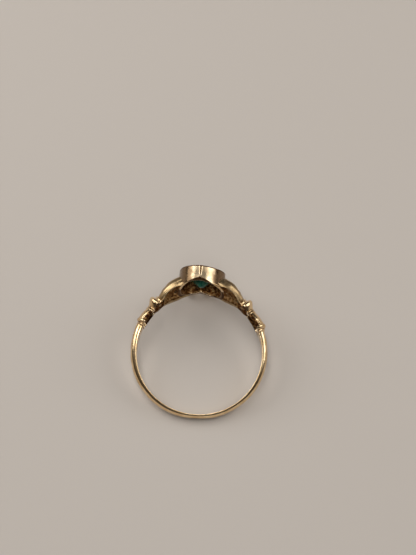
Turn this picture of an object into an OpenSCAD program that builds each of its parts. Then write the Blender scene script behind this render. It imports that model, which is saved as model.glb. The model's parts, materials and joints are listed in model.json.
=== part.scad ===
// Claddagh ring: two cuffed hands hold a heart-shaped stone under a crown.
// The ring lies on its side, on two beads of its crown and on the back of its shank.
// Millimetres. The origin is the centre of the finger hole, and the head points towards +Y.

/* [Finger hole] */
// Inner diameter of the shank
hole_d = 17.3; // [15:0.1:21]

/* [Shank] */
// Width of the half-round shank along the finger
shank_w = 1.7; // [1.4:0.1:2.6]
// Depth of wear on the outer face at the back of the shank
shank_wear = 0.32; // [0:0.01:0.35]
// How much thicker the shank is on the left than on the right, each from the middle
shank_lean = 0.05; // [0:0.01:0.15]
// Length of the flat that wear and a sizing joint have left at the back
flat_l = 3.2; // [1:0.1:5]
// Angle from the head at which the shank runs into a sleeve
shank_angle = 66.5; // [64:0.5:70]

/* [Sleeves] */
// Width of a sleeve at its rolled end by the shank
sleeve_w = 3.0; // [2.4:0.1:3.8]
// Height of a sleeve above the finger hole at that end
sleeve_h = 1.28; // [1:0.01:1.5]
// Width of a sleeve at its collar
sleeve_neck_w = 2.6; // [2:0.1:3]
// Height of a sleeve above the finger hole at its collar
sleeve_neck_h = 1.1; // [0.9:0.01:1.3]
// Angle from the head at which a sleeve narrows into its collar
neck_angle = 51.5; // [50.5:0.5:53]
// Angle of the sleeve's closed end
sleeve_end_turn = 2.5; // [2:0.5:4]
// Wire radius of the roll at a sleeve's end
roll_r = 0.3; // [0.15:0.01:0.35]
// Angle from the head of the thin collar ring
collar_angle = 49.5; // [48.5:0.5:50.5]
// Width of the thin collar ring
collar_w = 2.7; // [2.3:0.1:3.4]
// Height of the collar above the finger hole
collar_h = 1.2; // [1:0.01:1.5]
// Wire radius of the collar
collar_r = 0.16; // [0.1:0.01:0.25]

/* [Cuffs] */
// Angle from the head of a cuff's frill
cuff_angle = 42; // [41:0.5:43]
// Angle over which a cuff flares out to its frill
cuff_turn = 5; // [4:0.5:6]
// Width of a cuff
cuff_w = 3.5; // [3:0.1:4.4]
// Height of a cuff above the finger hole
cuff_h = 1.8; // [1.5:0.01:2]
// Wire radius of the frill
cuff_r = 0.36; // [0.25:0.01:0.5]

/* [Hands] */
// Angle from the head at which a hand leaves its cuff
wrist_angle = 38; // [36.5:0.5:39]
// Angle from the head at which a hand ends, inside the bezel's wall
palm_angle = 12.5; // [11.5:0.5:13.5]
// Width of a wrist
wrist_w = 2.2; // [1.8:0.1:2.8]
// Height of a wrist above the finger hole
wrist_h = 1.28; // [1.1:0.01:1.5]
// Width of a hand across its knuckles
hand_w = 4.4; // [3.8:0.1:5.2]
// Height of a hand above the finger hole at its knuckles
hand_h = 2.6; // [2.4:0.05:2.75]
// Radius of a finger
finger_r = 0.5; // [0.4:0.01:0.6]
// Angle across the hand from one finger to the next
finger_fan = 38; // [34:1:42]
// Radius of a thumb
thumb_r = 0.44; // [0.35:0.01:0.5]
// How far a finger stands out of the back of the hand
finger_rise = 0.2; // [0.1:0.01:0.35]
// Thickness of the cast metal over the hollow backs
cast_t = 0.42; // [0.3:0.01:0.6]

/* [Heart bezel] */
// Width of the heart bezel over its lobes
heart_w = 6.5; // [5.8:0.1:7.4]
// Depth of the cleft between the lobes
cleft_l = 0.735; // [0.55:0.005:0.95]
// Length of the heart from its lobes to its point
heart_l = 5.65; // [5.2:0.05:6.4]
// Distance of the heart's point from the middle plane of the shank
point_z = 3.6; // [3:0.05:4.2]
// Width of the blunt joint at the point
joint_w = 0.34; // [0.2:0.02:0.5]
// Distance of the bezel's lip from the finger hole's axis, past the hole's own radius
lip_h = 3.1; // [2.9:0.05:3.6]
// Angle by which the head leans towards the right hand
head_lean = 3; // [0:0.5:5]
// Thickness of the bezel's wall
bezel_t = 0.34; // [0.25:0.01:0.45]
// Overlap of the burnished lip over the stone
lip_over = 0.14; // [0.08:0.01:0.2]
// Thickness of the burnished lip
lip_t = 0.4; // [0.3:0.01:0.5]
// Width of the ledge under the stone
ledge_w = 0.26; // [0.15:0.01:0.35]
// Lift of the head's underside above the finger hole at the middle
underside_lift = 0.95; // [0.7:0.05:1.2]

/* [Crown] */
// Distance of the crown's beads from the middle plane of the shank
crown_reach = 5; // [4.6:0.1:5.8]
// Half of the spread of the crown's outer beads
crown_spread = 2; // [1.7:0.05:2.3]
// Half of the width of the crown's base
crown_base = 1.75; // [1.4:0.05:2.1]
// Thickness of the crown
crown_t = 0.8; // [0.7:0.05:1.1]
// Radius of the crown's own curve across the finger
crown_bend = 18; // [12:0.5:24]
// Lift of the crown's underside above the finger hole at the middle
crown_lift = 1.4; // [1.2:0.05:1.6]
// How far the crown's band stands out of its face
band_rise = 0.15; // [0.05:0.01:0.25]
// Width of the crown's band
band_w = 0.5; // [0.3:0.05:0.7]
// Radius of a bead on the crown
bead_r = 0.38; // [0.3:0.01:0.5]
// Depth of the two round dips between the crown's points
dip_l = 1.35; // [1:0.05:1.8]
// Width of a dip
dip_w = 1.35; // [1:0.05:1.5]

/* [Stone] */
// Free play between the stone and its setting
play = 0.04; // [0.02:0.01:0.08]
// Height of the stone above its girdle
stone_crown = 0.45; // [0.3:0.01:0.6]
// Height of the girdle
girdle_t = 0.08; // [0.05:0.01:0.15]
// Distance of the culet from the finger hole
culet_lift = 0.6; // [0.3:0.01:1]
// Width of the table as a share of the stone
table_share = 0.6; // [0.5:0.01:0.7]

/* [Hidden] */
$fn = 96;
hole_r = hole_d / 2;
shank_r = shank_w / 2;
// Overlap of cuts with each other
slop = 0.01;
// Overshoot of cuts into the open
past = 1;
// Depth of hidden cores under the surface round them
sink = 0.1;
// Angle by which neighbours along a shoulder run into each other
lap = 1;
// Thickness of the plug that closes a sleeve round the shank
plug_t = 0.4;

// The underside of the head follows a tighter arch than the finger hole
arch_share = 0.78;
arch_r = arch_share * hole_r;
arch_y = hole_r + underside_lift - arch_r;

// Heart outline: a lobe circle and a wide side arc on each side, which touch at the widest place
// A lobe's radius follows from the heart's width and the depth of its cleft
lobe_r = heart_w / 2 + cleft_l - sqrt(heart_w * cleft_l);
lobe_x = heart_w / 2 - lobe_r;
lobe_v = heart_l - lobe_r - point_z;
side_reach = lobe_v + point_z;
side_r = (pow(side_reach, 2) + pow(heart_w / 2, 2)) / heart_w;
side_x = heart_w / 2 - side_r;
cleft_turn = acos(-lobe_x / lobe_r);
cleft_v = lobe_v + lobe_r * sin(cleft_turn);
// Steps of each arc in a smooth outline and in the stone's cut one: lobe, side, cleft
SMOOTH = [8, 7, 3];
CUT = [4, 4, 2];

// Heights of the setting's levels from the finger hole's axis
lip_y = hole_r + lip_h;
lip_floor_y = lip_y - lip_t;
stone_inset = bezel_t + play;
// The stone's middle lies below its widest place, by a share of the heart's length
mid_share = 0.2;
stone_mid_v = lobe_v - mid_share * heart_l;
culet_share = 0.1;
// The stone is shortest from its middle to the cleft, so its crown is steepest there, where the lip comes nearest
cleft_reach = cleft_v - stone_inset - stone_mid_v;
crown_slope = stone_crown / (cleft_reach * (1 - table_share));
girdle_top_y = lip_floor_y - lip_over * crown_slope - play;
table_y = girdle_top_y + stone_crown;
girdle_y = girdle_top_y - girdle_t;
culet_y = hole_r + culet_lift;
// The pavilion breaks half way down, and it is steepest under the cleft, where it meets the ledge
break_share = 0.5;
break_y = (girdle_y + culet_y) / 2;
steepest = (girdle_y - break_y) / (cleft_reach * (1 - break_share));
ledge_y = girdle_y - (ledge_w + play) * steepest - play;

// Rest: the tilt at which the outer crown beads and the shank's back touch one plane
crown_y = hole_r + crown_lift - crown_bend;
function bead_height(x) = crown_y + sqrt(pow(crown_bend + crown_t / 2, 2) - x * x);
bead_y = bead_height(crown_spread);
rest_span = bead_y + hole_r - shank_wear;
rest_tilt = atan2(crown_reach, rest_span)
    - asin((shank_r - bead_r) / norm([rest_span, crown_reach]));

// A round section with height h above the finger hole and width w at it: its radius and its centre's distance
function section_r(w, h) = (w * w / 4 + h * h) / (2 * h);
function section_d(w, h) = hole_r + h - section_r(w, h);
// A point of the ring's middle plane, at an angle from the head towards the left
function at_angle(d, turn) = [-d * sin(turn), d * cos(turn), 0];

function arc(x, y, r, from, to, steps) =
    [for (i = [0:steps]) let(a = from + (to - from) * i / steps) [x + r * cos(a), y + r * sin(a)]];
// Right half of the heart, from the cleft to the point, moved inwards by d
function half_heart(d, blunt, steps) = concat(
    d > 0 ? arc(0, cleft_v, d, -90, cleft_turn - 180, steps[2]) : [[0, cleft_v]],
    [for (i = [1:steps[0]])
        let(a = cleft_turn * (1 - i / steps[0])) [lobe_x + (lobe_r - d) * cos(a), lobe_v + (lobe_r - d) * sin(a)]],
    [for (i = [1:steps[1]])
        let(a = -acos((blunt / 2 - side_x) / (side_r - d)) * i / steps[1])
        [side_x + (side_r - d) * cos(a), lobe_v + (side_r - d) * sin(a)]]);
function mirrored(pts) = [for (i = [len(pts) - 1:-1:0]) if (pts[i].x > slop) [-pts[i].x, pts[i].y]];
function heart(d, blunt = 0, steps = SMOOTH) = let(h = half_heart(d, blunt, steps)) concat(h, mirrored(h));

// Extrudes a plan outline from one height above the finger hole's axis to another
module raise(from, to) {
    translate([0, to, 0]) rotate([90, 0, 0]) linear_extrude(to - from) mirror([0, 1]) children();
}

// Leans the head about the middle of its height
head_mid_y = hole_r + lip_h / 2;
module leaning() {
    translate([0, head_mid_y, 0]) rotate([0, 0, -head_lean]) translate([0, -head_mid_y, 0]) children();
}

// A round cone between two sections of a shoulder
module span(turn_1, w1, h1, turn_2, w2, h2, thinner = 0) {
    p = at_angle(section_d(w1, h1), turn_1);
    q = at_angle(section_d(w2, h2), turn_2);
    along(p, q) cylinder(h = norm(q - p), r1 = section_r(w1, h1) - thinner, r2 = section_r(w2, h2) - thinner);
}

// Turns what stands on the origin so that it stands on one point and leads to another
module along(from, to) {
    d = to - from;
    translate(from) rotate([0, acos(d.z / norm(d)), atan2(d.y, d.x)]) children();
}

// A rounded hoop across a shoulder
module hoop(turn, w, h, wire) {
    rotate([0, 0, turn]) translate([0, section_d(w, h), 0]) rotate([0, 90, 0])
        rotate_extrude() translate([section_r(w, h) - wire, 0]) circle(wire);
}

module disc(turn, w, h, thick) {
    rotate([0, 0, turn]) translate([0, section_d(w, h), 0]) rotate([0, 90, 0])
        cylinder(h = thick, r = section_r(w, h), center = true);
}

// A hand is turned about a line from its wrist to its knuckles
WRIST = at_angle(section_d(wrist_w, wrist_h), wrist_angle);
PALM = at_angle(section_d(hand_w, hand_h), palm_angle);
wrist_r = section_r(wrist_w, wrist_h);
palm_r = section_r(hand_w, hand_h);
// Table of a hand's sections: share of its length from the wrist, share of its growth in radius
HAND = [[0, 0], [0.27, 0.58], [0.53, 0.89], [0.76, 1.02], [1, 1]];
function hand_r(s) = wrist_r + (palm_r - wrist_r) * s[1];
module hand(thinner = 0) {
    l = norm(PALM - WRIST);
    along(WRIST, PALM) rotate_extrude()
        polygon(concat([[0, 0]], [for (s = HAND) [hand_r(s) - thinner, s[0] * l]], [[0, l]]));
}

// The middle of a finger on a section of the hand, fanned out from the crest
function across_hand(s, fan) = let(
    out = hand_r(s) + finger_rise - finger_r,
    lie = (PALM - WRIST) / norm(PALM - WRIST),
    p = WRIST + (PALM - WRIST) * s[0])
    p + out * [-lie.y * cos(fan), lie.x * cos(fan), sin(fan)];

// Fingers lie side by side on the back of the hand, from its knuckles into the bezel's wall
KNUCKLES = HAND[2];
FINGERS = [-1.5, -0.5, 0.5, 1.5];
module fingers() {
    for (k = FINGERS)
        rod(across_hand(KNUCKLES, k * finger_fan), across_hand(HAND[4], k * finger_fan), finger_r);
}

// The thumb reaches from the side of the hand to the lobe next to the crown
thumb_fan = -75;
thumb_turn = 60;
module thumb() {
    rod(across_hand(HAND[1], thumb_fan),
        [-lobe_x - lobe_r * cos(thumb_turn), hole_r + underside_lift + thumb_r / 2,
        -lobe_v - lobe_r * sin(thumb_turn)], thumb_r);
}

// A round rod with rounded ends
END_STEPS = 3;
module rod(from, to, r) {
    along(from, to) rotate_extrude()
        polygon(concat(arc(0, 0, r, -90, 0, END_STEPS), arc(0, norm(to - from), r, 0, 90, END_STEPS)));
}

module shoulder() {
    difference() {
        union() {
            span(shank_angle, sleeve_w, sleeve_h, neck_angle, sleeve_neck_w, sleeve_neck_h);
            span(neck_angle + lap, wrist_w - sink, wrist_h - sink, wrist_angle - lap, wrist_w - sink, wrist_h);
            span(cuff_angle + cuff_turn, collar_w, collar_h, cuff_angle, cuff_w - cuff_r, cuff_h - cuff_r / 2);
            hand();
            fingers();
            thumb();
        }
        hand(cast_t);
        span(shank_angle - sleeve_end_turn, sleeve_w, sleeve_h, neck_angle, sleeve_neck_w, sleeve_neck_h, cast_t);
    }
    hoop(shank_angle, sleeve_w + sink, sleeve_h + sink / 2, roll_r);
    disc(shank_angle, sleeve_w - 2 * sink, sleeve_h - sink, plug_t);
    hoop(collar_angle, collar_w, collar_h, collar_r);
    hoop(cuff_angle, cuff_w, cuff_h, cuff_r);
}

module shank() {
    tuck = shank_r / 3;
    flat_y = sqrt(pow(hole_r + shank_r - shank_wear, 2) - pow(flat_l / 2, 2));
    difference() {
        translate([-shank_lean, shank_wear, 0]) rotate([0, 0, 90 + shank_angle])
            rotate_extrude(angle = 360 - 2 * shank_angle)
                intersection() {
                    translate([hole_r, 0]) circle(shank_r);
                    translate([hole_r - tuck, -shank_w]) square([2 * shank_w, 2 * shank_w]);
                }
        translate([-flat_l, -flat_y - past, -shank_w]) cube([2 * flat_l, past, 2 * shank_w]);
    }
}

// Plan of the crown: a flared plate with two round dips, which leave three points
neck_v = lobe_v + lobe_r + sink;
module crown_plan() {
    base_v = lobe_v + lobe_r / 2;
    dip_v = crown_reach - dip_l + dip_w / 2;
    difference() {
        polygon([
            [-crown_base, base_v], [crown_base, base_v], [crown_base, neck_v], [crown_spread + bead_r / 2, crown_reach],
            [-crown_spread - bead_r / 2, crown_reach], [-crown_base, neck_v]]);
        for (side = [-1, 1]) translate([side * crown_spread / 2, dip_v]) {
            circle(dip_w / 2);
            translate([-dip_w / 2, 0]) square([dip_w, dip_l]);
        }
    }
}

// A slab of the crown's own curve, from its underside up to a thickness
module crown_slab(thick) {
    translate([0, crown_y, 0]) difference() {
        cylinder(h = 4 * crown_reach, r = crown_bend + thick, center = true);
        cylinder(h = 4 * crown_reach + past, r = crown_bend, center = true);
    }
}

module crown() {
    intersection() {
        raise(hole_r, lip_y) crown_plan();
        crown_slab(crown_t);
    }
    intersection() {
        raise(hole_r, lip_y) translate([-crown_base - band_rise, neck_v - sink])
            square([2 * (crown_base + band_rise), band_w]);
        crown_slab(crown_t + band_rise);
    }
    for (x = [-1, 0, 1] * crown_spread)
        translate([x, bead_height(x), -crown_reach]) sphere(bead_r);
}

module gold_ring() color("goldenrod") rotate([rest_tilt, 0, 0]) difference() {
    union() {
        shank();
        shoulder();
        mirror([1, 0, 0]) shoulder();
        leaning() raise(hole_r - past, lip_y) polygon(heart(0, joint_w));
        crown();
    }
    cylinder(h = 6 * crown_reach, r = hole_r, center = true);
    translate([0, arch_y, 0]) cylinder(h = 6 * crown_reach, r = arch_r, center = true);
    leaning() {
        raise(hole_r - 2 * past, ledge_y + slop) polygon(heart(bezel_t + ledge_w));
        raise(ledge_y, lip_floor_y) polygon(heart(bezel_t));
        raise(lip_floor_y - slop, lip_y + past) polygon(heart(bezel_t + lip_over));
    }
}

// The cut stone, from its culet up: each level is a share of the girdle's outline around the stone's middle
module heart_stone() color("seagreen") rotate([rest_tilt, 0, 0]) leaning() {
    outline = heart(stone_inset, 0, CUT);
    n = len(outline);
    mid = [0, stone_mid_v];
    levels = [[culet_share, culet_y], [break_share, break_y], [1, girdle_y], [1, girdle_top_y], [table_share, table_y]];
    top = (len(levels) - 1) * n;
    corners = [for (l = levels) for (p = outline) let(q = mid + l[0] * (p - mid)) [q.x, l[1], -q.y]];
    sides = [for (k = [0:len(levels) - 2]) for (i = [0:n - 1])
        [k * n + i, k * n + (i + 1) % n, (k + 1) * n + (i + 1) % n, (k + 1) * n + i]];
    polyhedron(corners, concat([[for (i = [n - 1:-1:0]) i]], sides, [[for (i = [0:n - 1]) top + i]]));
}

gold_ring();
heart_stone();
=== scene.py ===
import json
import math

import bmesh
import bpy
from mathutils import Matrix, Quaternion, Vector


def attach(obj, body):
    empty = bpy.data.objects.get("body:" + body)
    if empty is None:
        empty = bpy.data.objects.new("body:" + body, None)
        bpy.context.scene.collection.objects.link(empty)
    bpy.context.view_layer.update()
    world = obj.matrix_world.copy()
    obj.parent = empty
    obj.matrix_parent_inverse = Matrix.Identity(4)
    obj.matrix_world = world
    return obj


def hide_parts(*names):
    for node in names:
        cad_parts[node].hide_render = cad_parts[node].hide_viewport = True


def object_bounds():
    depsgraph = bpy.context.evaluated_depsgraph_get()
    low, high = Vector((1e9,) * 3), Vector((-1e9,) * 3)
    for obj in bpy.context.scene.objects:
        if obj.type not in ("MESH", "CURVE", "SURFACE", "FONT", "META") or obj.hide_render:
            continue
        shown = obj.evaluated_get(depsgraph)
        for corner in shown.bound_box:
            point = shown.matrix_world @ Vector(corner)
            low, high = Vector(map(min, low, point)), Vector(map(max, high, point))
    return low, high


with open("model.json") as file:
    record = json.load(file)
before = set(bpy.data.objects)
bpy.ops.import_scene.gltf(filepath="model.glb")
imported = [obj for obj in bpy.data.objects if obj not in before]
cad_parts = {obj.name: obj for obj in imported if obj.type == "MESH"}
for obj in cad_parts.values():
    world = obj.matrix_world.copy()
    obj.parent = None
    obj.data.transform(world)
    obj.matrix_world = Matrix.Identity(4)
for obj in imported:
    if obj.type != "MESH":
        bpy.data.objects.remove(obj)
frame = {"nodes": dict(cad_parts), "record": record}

CAD_BOX = [list(corner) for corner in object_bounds()]

# The ring is modelled upright in its own axes, in millimetres: X across the head, Y from the finger hole's
# middle to the head, and Z along the finger hole towards the heart's point. LYING lays it on its side and
# turns millimetres into metres.
FINGER_HOLE = frame["record"]["mounts"][0]
HOLE_R = FINGER_HOLE["dims"]["r_mm"]
TILT = math.atan2(-FINGER_HOLE["axis"][1], FINGER_HOLE["axis"][2])
LYING = Matrix.Scale(0.001, 4) @ Matrix.Rotation(TILT, 4, "X")
LEFT, RIGHT = 1, -1
SIDE_NAMES = {LEFT: "left", RIGHT: "right"}

# Shank: its half round section, and how far its inner face is off that section's middle at back and sides
SHANK_R, SHANK_CORNER = 0.85, 0.1
SHANK_WEAR, SHANK_LEAN = 0.32, 0.05
# Angle from the head at which it goes into the sleeves
SHANK_END = 65.0
# Depth and angle of the back's push inwards and of the worn flat there, and the height of its soft waves
SHANK_PUSH, PUSH_TURN = 0.1, 42
FLAT_DEPTH, FLAT_TURN = 0.07, 9
RIPPLE = 0.02
# Angles of the two joints from the ring's resizing, their width, depth and share of narrowing
SIZING_JOINTS, SIZING_TURN = (176.6, 188.8), 0.55
JOINT_DEPTH, JOINT_NARROWING = 0.035, 0.03

# Underside of the head: a tighter arch than the finger hole, lower on the crown's side
UNDERSIDE_LIFT = 0.95
ARCH_R = 0.78 * HOLE_R
ARCH_Y = HOLE_R + UNDERSIDE_LIFT - ARCH_R
FAR_DROP, FAR_DROP_START, FAR_DROP_END = 0.62, 1.2, -1.4

# Heart: lobes on circles at LOBE_X, sides on larger arcs round SIDE_X, and a blunt point with a joint
HEART_W, HEART_L, POINT_Z, CLEFT = 6.5, 5.65, 3.6, 0.735
LOBE_R = HEART_W / 2 + CLEFT - math.sqrt(HEART_W * CLEFT)
LOBE_X = HEART_W / 2 - LOBE_R
LOBE_V = HEART_L - LOBE_R - POINT_Z
SIDE_R = ((LOBE_V + POINT_Z) ** 2 + (HEART_W / 2) ** 2) / HEART_W
SIDE_X = HEART_W / 2 - SIDE_R
JOINT_W, WALL = 0.34, 0.34
LIP_H = 3.1
LIP_Y = HOLE_R + LIP_H
HEAD_MID_Y = HOLE_R + LIP_H / 2
# Lean of the head in degrees, and how far its point is off the middle
HEAD_LEAN, POINT_SKEW = 3.0, 0.25


def unit_turn(turn):
    """Outward and forward directions at an angle from the head towards the left."""
    a = math.radians(turn)
    return Vector((-math.sin(a), math.cos(a), 0)), Vector((math.cos(a), math.sin(a), 0))


def section(turn, width, height):
    """Middle and radius of a round section with a width at the finger hole and a height above it."""
    radius = (width * width / 4 + height * height) / (2 * height)
    return unit_turn(turn)[0] * (HOLE_R + height - radius), radius


def ease(low, high, value):
    """Goes smoothly from 0 at low to 1 at high."""
    t = min(max((value - low) / (high - low), 0.0), 1.0)
    return t * t * (3 - 2 * t)


def bump(middle, width, value):
    """Rises smoothly to 1 at the middle."""
    return math.exp(-(((value - middle) / width) ** 2))


def blend_table(table, share):
    """Smooth value of a table of (share, value, ...) rows at a share, on a curve through all its rows."""
    at = max(k for k in range(len(table) - 1) if k == 0 or table[k][0] <= share)
    before, a, b, after = (table[min(max(at + k, 0), len(table) - 1)] for k in (-1, 0, 1, 2))
    span = b[0] - a[0]
    t = min(max((share - a[0]) / span, 0.0), 1.0)
    values = []
    for o, p, q, r in zip(before[1:], a[1:], b[1:], after[1:]):
        leave = (q - o) / (b[0] - before[0]) * span
        arrive = (r - p) / (after[0] - a[0]) * span
        values.append((2 * t ** 3 - 3 * t ** 2 + 1) * p + (t ** 3 - 2 * t ** 2 + t) * leave
                      + (3 * t ** 2 - 2 * t ** 3) * q + (t ** 3 - t ** 2) * arrive)
    return values


def far_drop(z):
    """How much lower the arch lies at a place along the finger hole."""
    return FAR_DROP * ease(FAR_DROP_START, FAR_DROP_END, z)


def underside(x, z):
    """Height of the arch under the head."""
    return ARCH_Y + math.sqrt(ARCH_R ** 2 - x * x) - far_drop(z)


def above_finger(p):
    """Height of a point above the finger hole and above the arch under the head, whichever is less."""
    arch = math.hypot(p.x, p.y - ARCH_Y) - ARCH_R + far_drop(p.z)
    return min(math.hypot(p.x, p.y) - HOLE_R, arch)


def foot_angle(middle, out, radius, side=1, scoop=0.0):
    """Angle from the crest of a round section at which it meets the finger hole, or a scoop above it."""
    low, high = 20.0, 170.0
    for _ in range(24):
        fan = (low + high) / 2
        a = math.radians(fan)
        p = middle + out * (radius * math.cos(a)) + Vector((0, 0, side * radius * math.sin(a)))
        low, high = (fan, high) if above_finger(p) > scoop * ease(0.3, 1.5, p.z) else (low, fan)
    return low


def finish_piece(name, bm, node, materials, side=LEFT, sharp=35.0):
    """Lays a shape made in the ring's axes down and makes it a piece of the part."""
    if side == RIGHT:
        bmesh.ops.scale(bm, vec=(-1, 1, 1), verts=bm.verts)
    bmesh.ops.remove_doubles(bm, verts=bm.verts, dist=1e-5)
    bmesh.ops.recalc_face_normals(bm, faces=bm.faces)
    bmesh.ops.transform(bm, matrix=LYING, verts=bm.verts)
    mesh = bpy.data.meshes.new(name)
    bm.to_mesh(mesh)
    bm.free()
    for material in materials:
        mesh.materials.append(material)
    mesh.shade_smooth()
    mesh.set_sharp_from_angle(angle=math.radians(sharp))
    piece = bpy.data.objects.new(name, mesh)
    bpy.context.scene.collection.objects.link(piece)
    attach(piece, "root")
    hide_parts(node)
    return piece


def cast_wall(piece, thickness):
    """Gives a sheet its cast thickness: the inner face takes the rough finish, and the rim the outer one."""
    solid = piece.modifiers.new("cast wall", "SOLIDIFY")
    solid.thickness = thickness * 0.001
    solid.offset = -1
    solid.use_even_offset = True
    solid.material_offset = 1


def worn_edges(piece, width, segments=2, angle=40):
    """Rounds the edges as wear does."""
    bevel = piece.modifiers.new("worn edges", "BEVEL")
    bevel.width = width * 0.001
    bevel.segments = segments
    bevel.limit_method = "ANGLE"
    bevel.angle_limit = math.radians(angle)


def soften(piece, levels):
    """Smooths a coarse shape by subdivision."""
    smooth = piece.modifiers.new("soft", "SUBSURF")
    smooth.levels = smooth.render_levels = levels


def sheet(along, across):
    """A sheet of metal: X runs along the shoulder from 0 to 1, and Y across it from -1 to 1."""
    bm = bmesh.new()
    bmesh.ops.create_grid(bm, x_segments=along, y_segments=across, size=0.5)
    bmesh.ops.translate(bm, vec=(0.5, 0, 0), verts=bm.verts)
    bmesh.ops.scale(bm, vec=(1, 2, 1), verts=bm.verts)
    return bm


def hoop(bm, turn, width, height, wire, steps=40, sides=12):
    """A rounded hoop over the finger, from the finger hole up and back to it."""
    out, forward = unit_turn(turn)
    middle, radius = section(turn, width, height)
    foot = foot_angle(middle, out, radius) - 1
    ring = bmesh.ops.create_circle(bm, segments=sides, radius=wire)["verts"]
    stand = Matrix((forward, Vector((0, 0, 1)).cross(forward), Vector((0, 0, 1)))).transposed()
    bmesh.ops.rotate(bm, verts=ring, cent=(0, 0, 0), matrix=stand)
    bmesh.ops.translate(bm, verts=ring, vec=middle + out * (radius - wire))
    bmesh.ops.rotate(bm, verts=ring, cent=middle, matrix=Matrix.Rotation(math.radians(-foot), 3, forward))
    loop = list({e for v in ring for e in v.link_edges})
    bmesh.ops.spin(bm, geom=ring + loop, cent=middle, axis=forward, angle=math.radians(2 * foot), steps=steps)
    bmesh.ops.holes_fill(bm, edges=[e for e in bm.edges if e.is_boundary], sides=sides)


def limb(bm, path, sides=16):
    """A round limb through points with radii, rounded off at its far end."""
    first, second = Vector(path[0][:3]), Vector(path[1][:3])
    ring = bmesh.ops.create_circle(bm, segments=sides, radius=1)["verts"]
    lie = (second - first).to_track_quat("Z", "Y").to_matrix()
    bmesh.ops.rotate(bm, verts=ring, cent=(0, 0, 0), matrix=lie)
    bmesh.ops.scale(bm, vec=(path[0][3],) * 3, verts=ring)
    bmesh.ops.translate(bm, vec=first, verts=ring)
    edges = list({e for v in ring for e in v.link_edges})
    at, size = first, path[0][3]
    for x, y, z, radius in path[1:]:
        made = bmesh.ops.extrude_edge_only(bm, edges=edges)["geom"]
        ring = [g for g in made if isinstance(g, bmesh.types.BMVert)]
        edges = [e for e in made if isinstance(e, bmesh.types.BMEdge) and all(v in ring for v in e.verts)]
        to = Vector((x, y, z))
        bmesh.ops.scale(bm, vec=(radius / size,) * 3, space=Matrix.Translation(-at), verts=ring)
        bmesh.ops.translate(bm, vec=to - at, verts=ring)
        at, size = to, radius
    bmesh.ops.contextual_create(bm, geom=edges)


# ---- Materials: lengths in metres

# How far the occlusion reaches that darkens crevices, outside and in the hollows: dirt and painted shade there
DIRT_AND_SHADE_REACH, HOLLOW_DIRT_AND_SHADE_REACH = 0.0006, 0.002
SCRATCH_DEPTH, PIT_DEPTH = 0.00001, 0.00018
# How much the grain moves the edge of the dirt and painted shade in crevices, and how rough dirty metal is
DIRT_AND_SHADE_GRAIN, DIRT_ROUGHNESS = 0.35, 0.6
# The two directions of the scratches: turn and stretch
SCRATCHES = (((0.3, 0.2, 0.6), (260, 9000, 5200)), ((1.1, 0.7, 2.0), (380, 8000, 7000)))
WAVE_SCALE, WAVE_SHARE = 900.0, 5.0
# Grain of the painted shade on the bezel's sides
SIDE_SHADE_GRAIN = 0.0012
PIT_SCALE, RUB_SCALE = 3000.0, 1500.0


def add(tree, kind, inputs=None, **settings):
    """Adds a node with its settings and the values of its inputs."""
    node = tree.nodes.new(kind)
    for name, value in settings.items():
        setattr(node, name, value)
    for name, value in (inputs or {}).items():
        node.inputs[name].default_value = value
    return node


def link_up(tree, *pairs):
    """Links each pair of an output and an input."""
    for out, to in pairs:
        tree.links.new(out, to)


def colour_ramp(tree, steps):
    """Adds a colour ramp with steps of a place and a colour."""
    node = add(tree, "ShaderNodeValToRGB")
    elements = node.color_ramp.elements
    elements[0].position, elements[-1].position = steps[0][0], steps[-1][0]
    for at, tone in steps[1:-1]:
        elements.new(at)
    for element, (at, tone) in zip(elements, steps):
        element.color = (*tone, 1)
    return node


def new_material(name, **values):
    """A new material, its node tree and its shader with some values set."""
    material = bpy.data.materials.new(name)
    material.use_nodes = True
    shader = material.node_tree.nodes["Principled BSDF"]
    for key, value in values.items():
        shader.inputs[key.replace("_", " ")].default_value = value
    return material, material.node_tree, shader


def new_group(name, inward, outward):
    """A new node group with numbers as inputs and outputs, its tree, and the nodes at both its ends."""
    group = bpy.data.node_groups.new(name, "ShaderNodeTree")
    for key, value in inward.items():
        made = group.interface.new_socket(name=key, in_out="INPUT", socket_type="NodeSocketFloat")
        made.default_value = value
    for key in outward:
        group.interface.new_socket(name=key, in_out="OUTPUT", socket_type="NodeSocketFloat")
    return group, add(group, "NodeGroupInput"), add(group, "NodeGroupOutput")


def crevice_group():
    """Where metal lies deep between its neighbours, from occlusion: dirt and painted shade, broken up so that
    it looks uneven.
    """
    values = {"Reach": DIRT_AND_SHADE_REACH, "Start": 0.45, "Full": 0.85, "Grain": 4000.0}
    group, ins, outs = new_group("Crevices", values, ["Mask"])
    hollow = add(group, "ShaderNodeAmbientOcclusion", samples=3, only_local=False)
    turned = add(group, "ShaderNodeMath", {0: 1.0}, operation="SUBTRACT")
    place = add(group, "ShaderNodeTexCoord")
    grain = add(group, "ShaderNodeTexNoise", {"Detail": 4.0})
    shifted = add(group, "ShaderNodeMath", {1: DIRT_AND_SHADE_GRAIN}, operation="MULTIPLY_ADD")
    ranged = add(group, "ShaderNodeMapRange", interpolation_type="SMOOTHSTEP")
    centred = add(group, "ShaderNodeMath", {1: DIRT_AND_SHADE_GRAIN / 2}, operation="SUBTRACT")
    link_up(group, (ins.outputs["Reach"], hollow.inputs["Distance"]), (hollow.outputs["AO"], turned.inputs[1]),
            (place.outputs["Object"], grain.inputs["Vector"]), (ins.outputs["Grain"], grain.inputs["Scale"]),
            (grain.outputs["Fac"], shifted.inputs[0]), (turned.outputs[0], shifted.inputs[2]),
            (shifted.outputs[0], centred.inputs[0]), (centred.outputs[0], ranged.inputs["Value"]),
            (ins.outputs["Start"], ranged.inputs["From Min"]), (ins.outputs["Full"], ranged.inputs["From Max"]),
            (ranged.outputs["Result"], outs.inputs["Mask"]))
    return group


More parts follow.
